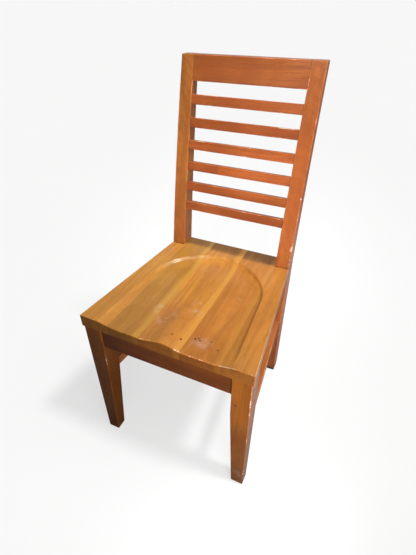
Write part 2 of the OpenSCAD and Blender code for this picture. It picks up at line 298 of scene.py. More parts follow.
def straight_sections(node, axis, ends):
    """The two end cross-sections of a straight CAD node, carried on from two sections near its middle."""
    low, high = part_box(node)
    third = (high[axis] - low[axis]) / 3
    near = section_corners(node, axis, low[axis] + third)
    far = section_corners(node, axis, high[axis] - third)
    sections = []
    for at in ends:
        run = (at - low[axis] - third) / third
        sections.append({sign: near[sign].lerp(far[sign], run) for sign in near})
    return sections


def bar(sections, axis, radius, segments):
    """A bar through a row of cross-sections along an axis, with eased edges."""
    steps = len(sections) - 1
    bm, wear = new_solid()
    bmesh.ops.create_cube(bm, size=1.0)
    u, v = [other for other in (X, Y, Z) if other != axis]
    if steps > 1:
        long_edges = [e for e in bm.edges if abs(e.verts[0].co[axis] - e.verts[1].co[axis]) > 0.5]
        bmesh.ops.subdivide_edges(bm, edges=long_edges, cuts=steps - 1, use_grid_fill=True)
    for vert in bm.verts:
        step = round((vert.co[axis] + 0.5) * steps)
        sign = (1 if vert.co[u] > 0 else -1, 1 if vert.co[v] > 0 else -1)
        vert.co = sections[step][sign]
    ease(bm, sharp_edges(bm), radius, segments, wear)
    return bm


# ---------------------------------------------------------------- shader helpers


def put(tree, kind, inputs=None, **settings):
    """Adds a shader node, sets it up, and links or fills its inputs."""
    made = tree.nodes.new("ShaderNode" + kind)
    for key, value in settings.items():
        setattr(made, key, value)
    for key, value in (inputs or {}).items():
        if isinstance(value, bpy.types.NodeSocket):
            tree.links.new(value, made.inputs[key])
        else:
            made.inputs[key].default_value = value
    return made


def maths(tree, operation, a, b=0.0, clamp=False):
    """A Math node's result."""
    return put(tree, "Math", {0: a, 1: b}, operation=operation, use_clamp=clamp).outputs[0]


def remap(tree, value, low, high, to_low=0.0, to_high=1.0):
    """A smooth Map Range's result."""
    made = put(
        tree,
        "MapRange",
        {"Value": value, "From Min": low, "From Max": high, "To Min": to_low, "To Max": to_high},
        interpolation_type="SMOOTHSTEP",
    )
    return made.outputs["Result"]


def blend_colour(tree, factor, a, b, kind="MIX"):
    """A colour mix's result."""
    made = put(tree, "Mix", data_type="RGBA", blend_type=kind)
    for key, value in ((0, factor), (6, a), (7, b)):
        if isinstance(value, bpy.types.NodeSocket):
            tree.links.new(value, made.inputs[key])
        else:
            made.inputs[key].default_value = value
    return made.outputs[2]


def new_group(name, inputs, outputs):
    """An empty node group with named sockets, its input node and its output node."""
    tree = bpy.data.node_groups.new(name, "ShaderNodeTree")
    for label, kind, default in inputs:
        socket = tree.interface.new_socket(label, in_out="INPUT", socket_type="NodeSocket" + kind)
        if default is not None:
            socket.default_value = default
    for label, kind in outputs:
        tree.interface.new_socket(label, in_out="OUTPUT", socket_type="NodeSocket" + kind)
    return tree, tree.nodes.new("NodeGroupInput"), tree.nodes.new("NodeGroupOutput")


def stretched_noise(tree, vector, across, along, detail, distortion=0.0):
    """Noise drawn out along Z, with its cells' numbers per metre across and along."""
    scaled = put(tree, "Mapping", {"Vector": vector, "Scale": (across, across, along)})
    made = put(tree, "TexNoise", {"Scale": 1.0, "Detail": detail, "Roughness": 0.55})
    made.inputs["Distortion"].default_value = distortion
    tree.links.new(scaled.outputs[0], made.inputs["Vector"])
    return made.outputs["Fac"]


def distance(tree, a, b):
    """The distance between two places."""
    return put(tree, "VectorMath", {0: a, 1: b}, operation="DISTANCE").outputs["Value"]


def grain_group():
    """Growth rings, soft figure, fibres and pores of wood whose grain runs along Z."""
    if "Wood grain" in bpy.data.node_groups:
        return bpy.data.node_groups["Wood grain"]
    tree, given, result = new_group(
        "Wood grain",
        [("Vector", "Vector", None), ("Ring spacing", "Float", 0.005)],
        [("Rings", "Float"), ("Figure", "Float"), ("Fibre", "Float"), ("Pores", "Float")],
    )
    place = given.outputs["Vector"]
    bend = put(tree, "TexNoise", {"Scale": 1.0, "Detail": 2.0, "Roughness": 0.5})
    wide = put(tree, "Mapping", {"Vector": place, "Scale": (7.0, 7.0, 1.6)})
    tree.links.new(wide.outputs[0], bend.inputs["Vector"])
    shift = put(tree, "VectorMath", {0: bend.outputs["Color"], 1: (0.5, 0.5, 0.5)}, operation="SUBTRACT")
    offset = put(tree, "VectorMath", {0: shift.outputs[0], "Scale": 0.05}, operation="SCALE")
    bent = put(tree, "VectorMath", {0: place, 1: offset.outputs[0]}, operation="ADD")
    parts = put(tree, "SeparateXYZ", {0: bent.outputs[0]})
    flat = put(tree, "CombineXYZ", {0: parts.outputs[0], 1: parts.outputs[1], 2: 0.0})
    radius = put(tree, "VectorMath", {0: flat.outputs[0]}, operation="LENGTH").outputs["Value"]
    turns = maths(tree, "DIVIDE", radius, given.outputs["Ring spacing"])
    year = maths(tree, "FRACT", turns)
    late = remap(tree, year, 0.35, 0.92)
    early = remap(tree, year, 0.92, 1.0, 1.0, 0.0)
    rings = maths(tree, "MULTIPLY", late, early)
    figure = stretched_noise(tree, bent.outputs[0], 55.0, 3.5, 4.0, 0.6)
    fibre = stretched_noise(tree, place, 620.0, 18.0, 3.0)
    pore_noise = stretched_noise(tree, place, 900.0, 75.0, 1.0)
    pores = remap(tree, pore_noise, 0.62, 0.72)
    for label, value in (("Rings", rings), ("Figure", figure), ("Fibre", fibre), ("Pores", pores)):
        tree.links.new(value, result.inputs[label])
    return tree


def wear_group():
    """Where the finish has rubbed thin on the eased edges, and where it has chipped off them."""
    if "Edge wear" in bpy.data.node_groups:
        return bpy.data.node_groups["Edge wear"]
    tree, given, result = new_group(
        "Edge wear",
        [("Vector", "Vector", None), ("Edge", "Float", 0.0), ("Amount", "Float", 0.5)],
        [("Rubbed", "Float"), ("Chipped", "Float")],
    )
    place = given.outputs["Vector"]
    edge = given.outputs["Edge"]
    patch = put(tree, "TexNoise", {"Vector": place, "Scale": 22.0, "Detail": 4.0, "Roughness": 0.6})
    speck = put(tree, "TexNoise", {"Vector": place, "Scale": 240.0, "Detail": 3.0, "Roughness": 0.65})
    broad = maths(tree, "MULTIPLY", patch.outputs["Fac"], 0.65)
    fine = maths(tree, "MULTIPLY", speck.outputs["Fac"], 0.35)
    amount = maths(tree, "MULTIPLY", given.outputs["Amount"], 0.25)
    level = maths(tree, "ADD", maths(tree, "ADD", broad, fine), amount)
    rubbed = maths(tree, "MULTIPLY", remap(tree, level, 0.50, 0.74), edge)
    chipped = maths(tree, "MULTIPLY", remap(tree, level, 0.705, 0.73), remap(tree, edge, 0.25, 0.6))
    tree.links.new(rubbed, result.inputs["Rubbed"])
    tree.links.new(chipped, result.inputs["Chipped"])
    return tree


def knock_group():
    """A small dent through the finish at one place."""
    if "Knock" in bpy.data.node_groups:
        return bpy.data.node_groups["Knock"]
    tree, given, result = new_group(
        "Knock",
        [("Vector", "Vector", None), ("Place", "Vector", None), ("Size", "Float", 0.003)],
        [("Mask", "Float")],
    )
    ragged = put(tree, "TexNoise", {"Vector": given.outputs["Vector"], "Scale": 420.0, "Detail": 2.0})
    gap = distance(tree, given.outputs["Vector"], given.outputs["Place"])
    ratio = maths(tree, "DIVIDE", gap, given.outputs["Size"])
    uneven = maths(tree, "ADD", ratio, maths(tree, "MULTIPLY", ragged.outputs["Fac"], 1.1))
    tree.links.new(remap(tree, uneven, 1.25, 1.55, 1.0, 0.0), result.inputs["Mask"])
    return tree


def pale_patch_group():
    """A faint pale patch, thickest at one place; on the seat it is painted glare of the lamps."""
    if "Pale patch" in bpy.data.node_groups:
        return bpy.data.node_groups["Pale patch"]
    tree, given, result = new_group(
        "Pale patch",
        [("Vector", "Vector", None), ("Place", "Vector", None), ("Size", "Float", 0.02)],
        [("Mask", "Float")],
    )
    ragged = put(tree, "TexNoise", {"Vector": given.outputs["Vector"], "Scale": 62.0, "Detail": 3.0})
    gap = distance(tree, given.outputs["Vector"], given.outputs["Place"])
    ratio = maths(tree, "DIVIDE", gap, given.outputs["Size"])
    near = remap(tree, ratio, 0.1, 1.0, 1.0, 0.0)
    cloud = remap(tree, ragged.outputs["Fac"], 0.38, 0.68)
    tree.links.new(maths(tree, "MULTIPLY", near, cloud), result.inputs["Mask"])
    return tree


def joint_shadow_group():
    """A dark line across a piece at a joint with another one: painted shadow in the gap between them."""
    if "Joint gap shadow" in bpy.data.node_groups:
        return bpy.data.node_groups["Joint gap shadow"]
    tree, given, result = new_group(
        "Joint gap shadow",
        [
            ("Vector", "Vector", None),
            ("Across", "Vector", None),
            ("Place", "Float", 0.0),
            ("Width", "Float", MM),
        ],
        [("Mask", "Float")],
    )
    place = given.outputs["Vector"]
    along = put(tree, "VectorMath", {0: place, 1: given.outputs["Across"]}, operation="DOT_PRODUCT")
    gap = maths(tree, "ABSOLUTE", maths(tree, "SUBTRACT", along.outputs["Value"], given.outputs["Place"]))
    ratio = maths(tree, "DIVIDE", gap, given.outputs["Width"])
    near = remap(tree, ratio, 0.4, 1.0, 1.0, 0.0)
    patch = put(tree, "TexNoise", {"Vector": place, "Scale": 130.0, "Detail": 2.0})
    uneven = remap(tree, patch.outputs["Fac"], 0.25, 0.6, 0.55, 1.0)
    tree.links.new(maths(tree, "MULTIPLY", near, uneven), result.inputs["Mask"])
    return tree


def shaded(colour, factor):
    """A colour made darker or lighter, with its alpha."""
    return tuple(min(channel * factor, 1.0) for channel in colour) + (1.0,)


def warmer(colour, amount):
    """A colour turned towards red for a positive amount and towards yellow for a negative one."""
    red, green, blue = colour
    return (min(red * (1 + 0.25 * amount), 1.0), green * (1 - 0.5 * amount), blue * (1 - 0.3 * amount))


# The turn that brings each axis to Z, along which the grain runs, and the colours that every wood shares.
TURNS = {X: (0.0, radians(-90), 0.0), Y: (radians(90), 0.0, 0.0), Z: (0.0, 0.0, 0.0)}
END_GRAIN_TINT = (0.56, 0.47, 0.36, 1.0)
# Pale patches: painted glare of the lamps on the seat, and a pale patch low on the right leg.
GLARE_AND_PALE_PATCH_COLOUR = (0.75, 0.66, 0.63, 1.0)
# Grime in the dark dents, and painted shadow in the gaps at the joints.
DENT_GRIME_AND_GAP_SHADOW_COLOUR = (0.045, 0.020, 0.012, 1.0)


def grained_stain(tree, grain, stain, figured):
    """The stain's colour over the grain's figure, rings, fibres and pores."""
    figure = remap(tree, grain.outputs["Figure"], 0.3, 0.72)
    plain = blend_colour(tree, figure, shaded(stain, 1 - 0.34 * figured), shaded(stain, 1 + 0.18 * figured))
    rings = maths(tree, "MULTIPLY", grain.outputs["Rings"], 0.42 * figured)
    ringed = blend_colour(tree, rings, plain, shaded(warmer(stain, 0.25), 0.55))
    fibres = maths(tree, "MULTIPLY", remap(tree, grain.outputs["Fibre"], 0.35, 0.68), 0.45 * figured)
    fibred = blend_colour(tree, fibres, ringed, shaded(stain, 1.30))
    pores = maths(tree, "MULTIPLY", grain.outputs["Pores"], 0.6)
    return blend_colour(tree, pores, fibred, shaded(stain, 0.36))


def strongest_mark(tree, group, place, spots, mask):
    """A mask, or the mark of a group at any of the given places and sizes where that is stronger."""
    for spot, size in spots:
        mark = put(tree, "Group", {"Vector": place, "Place": spot, "Size": size}, node_tree=group)
        mask = maths(tree, "MAXIMUM", mask, mark.outputs["Mask"])
    return mask


def lacquered_wood(
    name,
    colour,
    axis,
    pith,
    finish,
    wear=0.45,
    tone=1.0,
    red=0.0,
    mottle=0.6,
    figured=1.0,
    sap=None,
    shade=None,
    end_grain=(),
    knocks=(),
    dents=(),
    pale_patches=(),
    joint_shadow_lines=(),
):
    """Stained wood under a clear coat. The grain runs along an axis, round a pith at an offset from it.

    wear is how far the finish has rubbed off the edges. tone and red shift the stain's colour. mottle is the
    strength of its dark patches, and figured that of the grain. sap is the X from which the wood is pale
    sapwood. shade is an axis, the two places along it between which the tone changes, and the tone beyond
    them. end_grain holds the two planes, along the grain, beyond which the wood shows its ends. Each knock,
    dark dent and pale patch is a place and a size; on the seat the pale patches are painted glare of the
    lamps.
    Each dark line at a joint, painted shadow in its gap, is an axis, a place and a half-width.
    """
    material = bpy.data.materials.new(name)
    material.use_nodes = True
    tree = material.node_tree
    tree.nodes.clear()
    stain = warmer(tuple(channel * tone for channel in colour), red)

    place = put(tree, "TexCoord").outputs["Object"]
    parts = put(tree, "SeparateXYZ", {0: place})
    turned = put(tree, "Mapping", {"Vector": place, "Location": pith, "Rotation": TURNS[axis]}).outputs[0]
    grain = put(tree, "Group", node_tree=grain_group())
    grain.inputs["Ring spacing"].default_value = 6.5 * MM
    tree.links.new(turned, grain.inputs["Vector"])

    worn = put(tree, "Group", node_tree=wear_group())
    tree.links.new(place, worn.inputs["Vector"])
    edge = put(tree, "Attribute", attribute_name=WEAR)
    tree.links.new(edge.outputs["Fac"], worn.inputs["Edge"])
    worn.inputs["Amount"].default_value = wear

    grained = grained_stain(tree, grain, stain, figured)
    patches = put(tree, "TexNoise", {"Vector": turned, "Scale": 8.0, "Detail": 3.0, "Roughness": 0.55})
    uneven = remap(tree, patches.outputs["Fac"], 0.34, 0.66, 0.0, mottle)
    wood = blend_colour(tree, uneven, grained, shaded(warmer(stain, 0.3), 0.62))

    # A change of tone along an axis: glued splices on the slats, the darkening of the posts and the right
    # leg, painted shadow on the seat's back and painted shade on the front apron.
    if shade:
        across, start, end, beyond_tone = shade
        beyond = remap(tree, parts.outputs[across], start, end)
        wood = blend_colour(tree, beyond, wood, (beyond_tone, beyond_tone, beyond_tone, 1.0), "MULTIPLY")
    if sap is not None:
        wander = stretched_noise(tree, turned, 60.0, 4.0, 2.0)
        across = maths(tree, "ADD", parts.outputs[0], maths(tree, "MULTIPLY", wander, 8 * MM))
        pale = maths(tree, "MULTIPLY", remap(tree, across, sap, sap + 14 * MM), 0.5)
        wood = blend_colour(tree, pale, wood, shaded(warmer(stain, -0.2), 1.35))
    if end_grain:
        along = parts.outputs[axis]
        before = remap(tree, along, end_grain[0] + 0.5 * MM, end_grain[0] - 0.5 * MM)
        after = remap(tree, along, end_grain[1] - 0.5 * MM, end_grain[1] + 0.5 * MM)
        ends = maths(tree, "ADD", before, after, clamp=True)
        wood = blend_colour(tree, ends, wood, END_GRAIN_TINT, "MULTIPLY")

    rub = maths(tree, "MULTIPLY", worn.outputs["Rubbed"], 0.7)
    rubbed = blend_colour(tree, rub, wood, shaded(stain, 1.7))
    marks = strongest_mark(tree, knock_group(), place, knocks, worn.outputs["Chipped"])
    surface = blend_colour(tree, marks, rubbed, tuple(finish.bare) + (1.0,))
    # Pale patches: painted glare of the lamps on the seat, and a pale patch low on the right leg.
    if pale_patches:
        pale_patch_mask = strongest_mark(tree, pale_patch_group(), place, pale_patches, 0.0)
        surface = blend_colour(tree, maths(tree, "MULTIPLY", pale_patch_mask, 0.16), surface, GLARE_AND_PALE_PATCH_COLOUR)
    # Dark dents with grime in them, and painted shadow in the gaps where pieces meet.
    if dents or joint_shadow_lines:
        dark = strongest_mark(tree, knock_group(), place, dents, 0.0)
        for across, at, width in joint_shadow_lines:
            aim = [0.0, 0.0, 0.0]
            aim[across] = 1.0
            given = {"Vector": place, "Across": aim, "Place": at, "Width": width}
            line = put(tree, "Group", given, node_tree=joint_shadow_group())
            dark = maths(tree, "MAXIMUM", dark, line.outputs["Mask"])
        surface = blend_colour(tree, maths(tree, "MULTIPLY", dark, 0.85), surface, DENT_GRIME_AND_GAP_SHADOW_COLOUR)

    scuff = put(tree, "TexNoise", {"Vector": place, "Scale": 38.0, "Detail": 5.0, "Roughness": 0.6})
    sheen = remap(tree, scuff.outputs["Fac"], 0.3, 0.75, 0.30, 0.46)
    roughness = maths(tree, "ADD", sheen, maths(tree, "MULTIPLY", marks, 0.35), clamp=True)
    coat = maths(tree, "MULTIPLY", maths(tree, "SUBTRACT", 1.0, marks), finish.lacquer)

    relief = maths(tree, "MULTIPLY", grain.outputs["Fibre"], 0.5)
    relief = maths(tree, "SUBTRACT", relief, maths(tree, "MULTIPLY", grain.outputs["Pores"], 0.8))
    relief = maths(tree, "ADD", relief, maths(tree, "MULTIPLY", scuff.outputs["Fac"], 0.6))
    relief = maths(tree, "SUBTRACT", relief, maths(tree, "MULTIPLY", marks, 2.0))
    bump = put(tree, "Bump", {"Height": relief, "Strength": 0.25, "Distance": 0.25 * MM})

    shader = put(
        tree,
        "BsdfPrincipled",
        {
            "Base Color": surface,
            "Roughness": roughness,
            "Coat Weight": coat,
            "Coat Roughness": 0.13,
            "Specular IOR Level": 0.3,
            "Coat IOR": 1.5,
            "IOR": 1.45,
            "Normal": bump.outputs["Normal"],
        },
    )
    output = put(tree, "OutputMaterial")
    tree.links.new(shader.outputs[0], output.inputs["Surface"])
    return material


def plain_finish(name, colour, metallic, roughness, speckle, relief, wear_colour):
    """A rubbed plastic or plated metal, with scuffs that show in its colour, sheen and relief."""
    material = bpy.data.materials.new(name)
    material.use_nodes = True
    tree = material.node_tree
    tree.nodes.clear()
    place = put(tree, "TexCoord").outputs["Object"]
    scuff = put(tree, "TexNoise", {"Vector": place, "Scale": speckle, "Detail": 6.0, "Roughness": 0.65})
    blotch = put(tree, "TexNoise", {"Vector": place, "Scale": speckle / 6, "Detail": 2.0})
    mask = remap(tree, scuff.outputs["Fac"], 0.52, 0.70)
    tone = blend_colour(tree, blotch.outputs["Fac"], shaded(colour, 0.75), shaded(colour, 1.2))
    worn = blend_colour(tree, mask, tone, tuple(wear_colour) + (1.0,))
    sheen = remap(tree, scuff.outputs["Fac"], 0.3, 0.7, roughness * 0.75, min(roughness * 1.35, 1.0))
    bump = put(tree, "Bump", {"Height": scuff.outputs["Fac"], "Strength": 0.3, "Distance": relief})
    shader = put(
        tree,
        "BsdfPrincipled",
        {"Base Color": worn, "Roughness": sheen, "Metallic": metallic, "Normal": bump.outputs["Normal"]},
    )
    output = put(tree, "OutputMaterial")
    tree.links.new(shader.outputs[0], output.inputs["Surface"])
    return material


# ---------------------------------------------------------------- pieces


def saddle_depth(seat, x, y):
    """Depth of the saddle at a point, with y from the seat's front edge."""
    if y > seat.dish_middle:
        inside = seat.dish_radius - hypot(x, y - seat.dish_middle)
    else:
        inside = seat.dish_radius + seat.dish_flare * (1 - y / seat.dish_middle) - abs(x)
    back = smooth_step(y / (seat.dish_middle + seat.dish_radius))
    wall = seat.wall_front + (seat.wall_back - seat.wall_front) * back
    run = min(max(inside / wall, 0.0), 1.0)
    bowl = 1 - (1 - run) ** 2
    crown = (1 + cos(pi * min(abs(x) / seat.ridge_width, 1.0))) / 2
    fade = 1 - smooth_step((y - seat.ridge_full) / (seat.ridge_length - seat.ridge_full))
    lip = seat.lip_drop * smooth_step(inside / seat.lip_width) * smooth_step(y / seat.lip_start)
    return lip + (seat.dish_depth - seat.lip_drop) * bowl * (1 - crown * fade)


def seat_board(node, seat, segments):
    """One board: a grid bent to the saddle, walled round, closed below and eased where it shows."""
    corners = section_corners(node, Z, SEAT_UNDER + 2 * MM)
    front_left, front_right = corners[(-1, -1)], corners[(1, -1)]
    back_left, back_right = corners[(-1, 1)], corners[(1, 1)]
    columns = round((front_right.x - front_left.x) / seat.cell)
    rows = round((back_left.y - front_left.y) / seat.cell)
    bm, wear = new_solid()
    bmesh.ops.create_grid(bm, x_segments=columns, y_segments=rows, size=0.5)
    for vert in bm.verts:
        s, t = vert.co.x + 0.5, vert.co.y + 0.5
        front = front_left.lerp(front_right, s)
        back = back_left.lerp(back_right, s)
        spot = front.lerp(back, t)
        vert.co = (spot.x, spot.y, SEAT_TOP - saddle_depth(seat, spot.x, spot.y - SEAT_FRONT))
    rim = [edge for edge in bm.edges if edge.is_boundary]
    walls = bmesh.ops.extrude_edge_only(bm, edges=rim)
    for item in walls["geom"]:
        if isinstance(item, bmesh.types.BMVert):
            item.co.z = SEAT_UNDER
    bmesh.ops.holes_fill(bm, edges=[edge for edge in bm.edges if edge.is_boundary], sides=0)
    bmesh.ops.recalc_face_normals(bm, faces=bm.faces)

    outer_left, outer_right = node == BOARDS[0], node == BOARDS[-1]

    def on_outside(edge):
        """Is an edge on the seat's outline, and not on a glued seam or against a post?"""
        middle = (edge.verts[0].co + edge.verts[1].co) / 2
        at_front = abs(middle.y - front_left.y) < MM
        at_back = abs(middle.y - back_left.y) < MM and not (outer_left or outer_right)
        run = (middle.y - front_left.y) / (back_left.y - front_left.y)
        at_left = outer_left and abs(middle.x - front_left.lerp(back_left, run).x) < MM
        at_right = outer_right and abs(middle.x - front_right.lerp(back_right, run).x) < MM
        return at_front or at_back or at_left or at_right

    outline = [edge for edge in sharp_edges(bm) if on_outside(edge)]
    upright = [e for e in outline if abs(e.verts[0].co.z - e.verts[1].co.z) > 10 * MM]
    corner_x = front_left.x if outer_left else front_right.x
    corner = [e for e in upright if (outer_left or outer_right) and abs(e.verts[0].co.x - corner_x) < MM]
    under = [e for e in outline if max(v.co.z for v in e.verts) < SEAT_UNDER + MM]
    ease(bm, under + corner, seat.under_edge, segments, wear)
    lowest = SEAT_TOP - seat.dish_depth - 3 * MM
    top = [e for e in sharp_edges(bm, radians(50)) if on_outside(e)]
    top = [e for e in top if min(v.co.z for v in e.verts) > lowest]
    ease(bm, top, seat.top_edge, segments, wear)
    return bm


class CHAIR_OT_seat_boards(Operator):
    """Build the five glued boards of the saddled seat"""

    bl_idname = "chair.seat_boards"
    bl_label = "Seat boards"

    def execute(self, context):
        scene = context.scene
        seat, finish = scene.chair_seat, scene.chair_finish
        # Painted shadow where the outer boards meet the posts' front faces.
        post_gap_shadow = (Y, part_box(BOARDS[0])[1][Y], 1.6 * MM)
        looks = {
            "seat_board_1": dict(tone=0.98, red=-0.06, wear=0.40, pith=(0.30, 0.02, 0.0)),
            "seat_board_2": dict(tone=0.86, red=-0.12, wear=0.35, pith=(0.16, 0.09, 0.3)),
            "seat_board_3": dict(tone=0.95, red=0.05, wear=0.38, pith=(0.05, 0.11, 0.7)),
            "seat_board_4": dict(tone=0.86, red=0.14, wear=0.45, pith=(-0.12, 0.10, 0.1)),
            "seat_board_5": dict(tone=0.92, red=0.08, wear=0.70, pith=(-0.26, 0.05, 0.5)),
        }
        # Width of the pale sapwood along a board's right side.
        sapwood = {"seat_board_2": 16 * MM, "seat_board_3": 18 * MM, "seat_board_4": 14 * MM}
        # Painted shadow of the back's slats on the boards that darken towards the back: where from and by
        # where, from the back edge, and the tone.
        painted_slat_shadows = {
            "seat_board_2": (46 * MM, 28 * MM, 0.72),
            "seat_board_3": (54 * MM, 38 * MM, 0.58),
            "seat_board_4": (60 * MM, 44 * MM, 0.50),
        }

        def on_top(spots):
            """Places on the saddle, and sizes, of marks given from the front edge's middle."""
            return [((x, SEAT_FRONT + y, SEAT_TOP - saddle_depth(seat, x, y)), size) for x, y, size in spots]

        for node in BOARDS:
            right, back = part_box(node)[1][X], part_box(node)[1][Y]
            look = looks[node]
            if node in sapwood:
                look["sap"] = right - sapwood[node]
            if node in painted_slat_shadows:
                start, full, shade_tone = painted_slat_shadows[node]
                look["shade"] = (Y, back - start, back - full, shade_tone)
            if node in (BOARDS[0], BOARDS[-1]):
                look["joint_shadow_lines"] = [post_gap_shadow]
            wood = lacquered_wood(
                "Board wood " + node[-1],
                finish.seat,
                Y,
                finish=finish,
                mottle=0.4,
                figured=0.72,
                end_grain=(SEAT_FRONT + 1.2 * MM, back - 1.2 * MM),
                knocks=on_top(SEAT_NICKS.get(node, ())),
                dents=on_top(SEAT_DENTS.get(node, ())),
                pale_patches=on_top(SEAT_PAINTED_GLARE.get(node, ())),
                **look,
            )
            board = seat_board(node, seat, scene.chair_frame.segments)
            finish_piece(board, "visual_" + node, node, wood)
        return {"FINISHED"}


class CHAIR_OT_rear_posts(Operator):
    """Build the two curved rear posts"""

    bl_idname = "chair.rear_posts"
    bl_label = "Rear posts"

    def execute(self, context):
        scene = context.scene
        shape, finish = scene.chair_frame, scene.chair_finish
        # Both posts darken towards the top.
        looks = {
            "left": dict(red=-0.10, pith=(0.22, 0.05, 0.0), shade=(Z, 0.62, 0.85, 0.82)),
            "right": dict(red=0.12, pith=(-0.12, 0.06, 0.4), shade=(Z, 0.70, 0.86, 0.84)),
        }
        for side in SIDES:
            node = side + "_post"
            knocks = []
            if side == "right":
                outer_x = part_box(node)[1][X]
                for height, size in POST_CHIPS:
                    edge = section_corners(node, Z, height)[(1, -1)]
                    knocks.append(((outer_x, edge.y, height), size))
            wood = lacquered_wood(
                "Post wood " + side,
                finish.post,
                Z,
                finish=finish,
                knocks=knocks,
                # Painted shadow where the post meets the seat.
                joint_shadow_lines=[(Z, SEAT_TOP, 1.6 * MM)],
                **looks[side],
            )
            post = bar(curved_sections(node, Z, shape.post_steps), Z, shape.arris, shape.segments)
            finish_piece(post, "visual_" + node, node, wood)
        return {"FINISHED"}


class CHAIR_OT_back_rails(Operator):
    """Build the crest rail and the six slats"""

    bl_idname = "chair.back_rails"
    bl_label = "Crest rail and slats"

    def execute(self, context):
        scene = context.scene
        shape, finish = scene.chair_frame, scene.chair_finish
        # Two slats are glued up end to end: the place of the splice, and the tone to the right of it.
        splices = {"slat_3": (58 * MM, 1.12), "slat_4": (-52 * MM, 1.25)}
        hair = 0.2 * MM
        # The tones of the crest rail and of the slats, from the top.
        tones = [1.04, 0.96, 0.87, 0.97, 0.92, 0.94, 0.93]
        for index, (node, tone) in enumerate(zip(["crest_rail", *SLATS], tones)):
            crest = node == "crest_rail"
            low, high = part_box(node)
            post = section_corners("right_post", Z, (low[Z] + high[Z]) / 2)
            post_face = post[(-1, -1)].x
            radius = shape.crest_arris if crest else shape.slat_arris
            # Half-width of the painted shadow where the bar meets each post.
            seam = 0.6 * MM if crest else 1.2 * MM
            shade = None
            if node in splices:
                splice, beyond_tone = splices[node]
                shade = (X, splice - hair, splice + hair, beyond_tone)
            wood = lacquered_wood(
                "Back wood " + node,
                finish.back,
                X,
                # A different stretch of the tree for each bar.
                (0.1 * index, 0.10 + 0.013 * index, -0.9 - 0.02 * index),
                finish,
                tone=tone,
                red=0.0 if crest else 0.14,
                joint_shadow_lines=[(X, -post_face, seam), (X, post_face, seam)],
                shade=shade,
            )
            # The ends run into the posts by their own rounding, so that no gap shows.
            reach = post_face + radius
            sections = straight_sections(node, X, (-reach, reach))
            finish_piece(bar(sections, X, radius, shape.segments), "visual_" + node, node, wood)
        return {"FINISHED"}


class CHAIR_OT_front_legs(Operator):
    """Build the two tapered front legs"""

    bl_idname = "chair.front_legs"
    bl_label = "Front legs"

    def execute(self, context):
        scene = context.scene
        shape, finish = scene.chair_frame, scene.chair_finish
        # The right leg darkens down its taper.
        looks = {
            # Painted shade: the left leg is a darker copy of the right leg's wood.
            "left": dict(tone=0.62, pith=(0.26, 0.34, 0.2)),
            "right": dict(tone=0.92, pith=(-0.30, 0.34, 0.2), shade=(Z, 0.33, 0.22, 0.80)),
        }

        def on_front(node, height, across):
            """A place on a leg's front face, at a height and a part of the way across to its right edge."""
            corners = section_corners(node, Z, height)
            return tuple(corners[(-1, -1)].lerp(corners[(1, -1)], across))

        for side in SIDES:
            node = side + "_front_leg"
            look = looks[side]
            if side == "right":
                look["knocks"] = [(on_front(node, height, 1.0), size) for height, size in LEG_CHIPS]
                look["dents"] = [(on_front(node, 0.33, 0.27), 3.4 * MM)]
                look["pale_patches"] = [(on_front(node, 0.045, 0.55), 24 * MM)]
            wood = lacquered_wood("Leg wood " + side, finish.leg, Z, finish=finish, **look)
            leg = bar(curved_sections(node, Z, shape.post_steps), Z, shape.arris, shape.segments)
            finish_piece(leg, "visual_" + node, node, wood)
        return {"FINISHED"}


class CHAIR_OT_rails(Operator):
    """Build the four aprons and the two side stretchers"""

    bl_idname = "chair.rails"
    bl_label = "Aprons and stretchers"

    def execute(self, context):
        scene = context.scene
        shape, finish = scene.chair_frame, scene.chair_finish
        spans = {"front_apron": X, "rear_apron": X, "left_apron": Y, "right_apron": Y}
        # Painted shade: the front apron darkens from its middle to its left end.
        painted_shades = {"front_apron": (X, 0.02, -0.18, 0.72)}
        for number, (node, axis) in enumerate(spans.items()):
            pith = (0.05 * number, 0.12, -0.30) if axis == X else (0.2, -0.3, 0.1 * number)
            wood = lacquered_wood(
                "Rail wood " + node, finish.rail, axis, pith, finish, wear=0.3, shade=painted_shades.get(node)
            )
            low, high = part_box(node)
            sections = straight_sections(node, axis, (low[axis], high[axis]))
            finish_piece(bar(sections, axis, shape.rail_arris, shape.segments), "visual_" + node, node, wood)

        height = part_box("right_stretcher")[0][Z] + 10 * MM
        leg_face = section_corners("right_front_leg", Z, height)[(-1, 1)].y
        post_face = section_corners("right_post", Z, height)[(-1, -1)].y
        for side in SIDES:
            node = side + "_stretcher"
            wood = lacquered_wood(
                "Stretcher wood " + side, finish.back, Y, (0.2, -0.2, 0.4), finish, tone=1.3, red=-0.15
            )
            # The ends run a little into the leg and the post, so that no gap shows.
            sections = straight_sections(node, Y, (leg_face - 2 * MM, post_face + 3 * MM))
            finish_piece(bar(sections, Y, shape.rail_arris, shape.segments), "visual_" + node, node, wood)
        return {"FINISHED"}


class CHAIR_OT_hardware(Operator):
    """Give the corner blocks, dowels, screws and glides their finishes"""

    bl_idname = "chair.hardware"
    bl_label = "Blocks and hardware"

    def execute(self, context):
        finish = context.scene.chair_finish
        bare = tuple(finish.bare)
        pith = (0.0, 0.1, -0.4)
        looks = {
            "block_wood": lacquered_wood("Sawn block wood", bare, X, pith, finish, wear=0.0, tone=0.85),
            "dowel_wood": lacquered_wood("Dowel wood", bare, X, pith, finish, wear=0.0),
            "screw_steel": plain_finish(
                "Plated steel",
                (0.60, 0.60, 0.58),
                metallic=1.0,
                roughness=0.34,
                speckle=420.0,
                relief=0.02 * MM,
                wear_colour=(0.42, 0.38, 0.32),
            ),
            "glide": plain_finish(
                "Worn glide",
                (0.022, 0.020, 0.019),
                metallic=0.0,
                roughness=0.45,
                speckle=300.0,
                relief=0.05 * MM,
                wear_colour=(0.16, 0.155, 0.15),
            ),
        }
        for node, slot in SLOTS.items():
            if slot in looks:
                frame["nodes"][node].material_slots[0].material = looks[slot]
        return {"FINISHED"}


